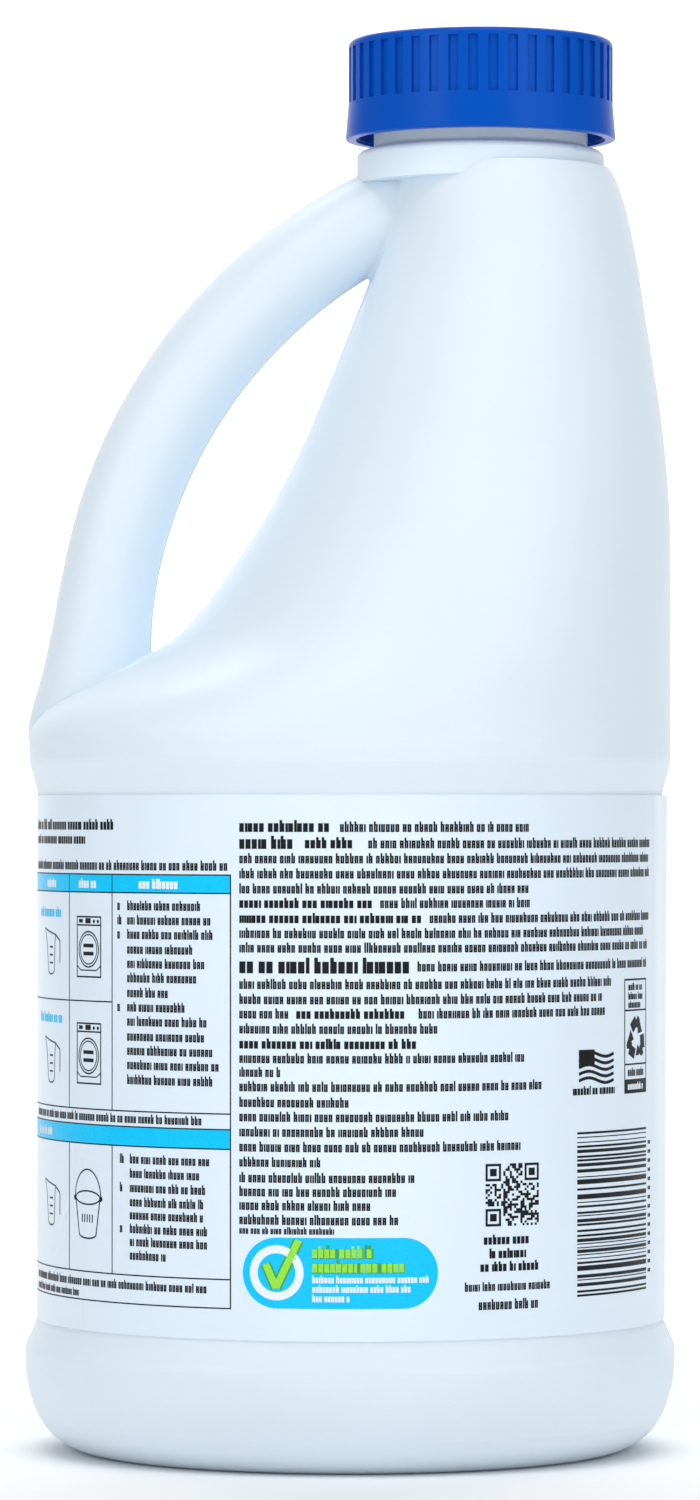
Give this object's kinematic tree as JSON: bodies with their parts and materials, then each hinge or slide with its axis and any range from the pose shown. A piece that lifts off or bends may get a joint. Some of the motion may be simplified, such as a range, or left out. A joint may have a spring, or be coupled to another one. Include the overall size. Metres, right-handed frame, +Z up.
{
  "type": "bleach bottle",
  "caption": "Round blow-moulded bleach bottle with a hollow side handle, an offset threaded neck, a ribbed screw cap and a wrap label in a recessed panel.",
  "frame": {"origin": "centre of the round body, on the surface the bottle stands on", "axes": "+Z up along the body; +X towards the neck, away from the handle; handle and neck lie in the XZ plane"},
  "size_m": [0.108, 0.108, 0.2347],
  "materials": {
    "bottle_plastic": "satin",
    "cap_plastic": "gloss",
    "liner_foam": "matte",
    "seal_foil": "satin",
    "label_film": "gloss",
    "liquid": "gloss"
  },
  "bodies": {
    "bottle": {"bottle_body": "bottle_plastic", "wrap_label": "label_film", "mouth_seal": "seal_foil", "bleach_liquid": "liquid"},
    "liner": {"cap_liner": "liner_foam"},
    "cap": {"screw_cap": "cap_plastic"}
  },
  "joints": [
    {"name": "cap_lift", "type": "slide", "parent": "bottle", "child": "liner", "axis": [0, 0, 1], "range_m": [0, 0.0053]},
    {"name": "cap_turn", "type": "hinge", "parent": "liner", "child": "cap", "pos_m": [0.0218, 0, 0.2182], "axis": [0, 0, 1], "range_deg": [0, 450]}
  ],
  "couplings": [
    {"joint": "cap_lift", "follows": "cap_turn", "m_per_rad": 0.0006737}
  ]
}
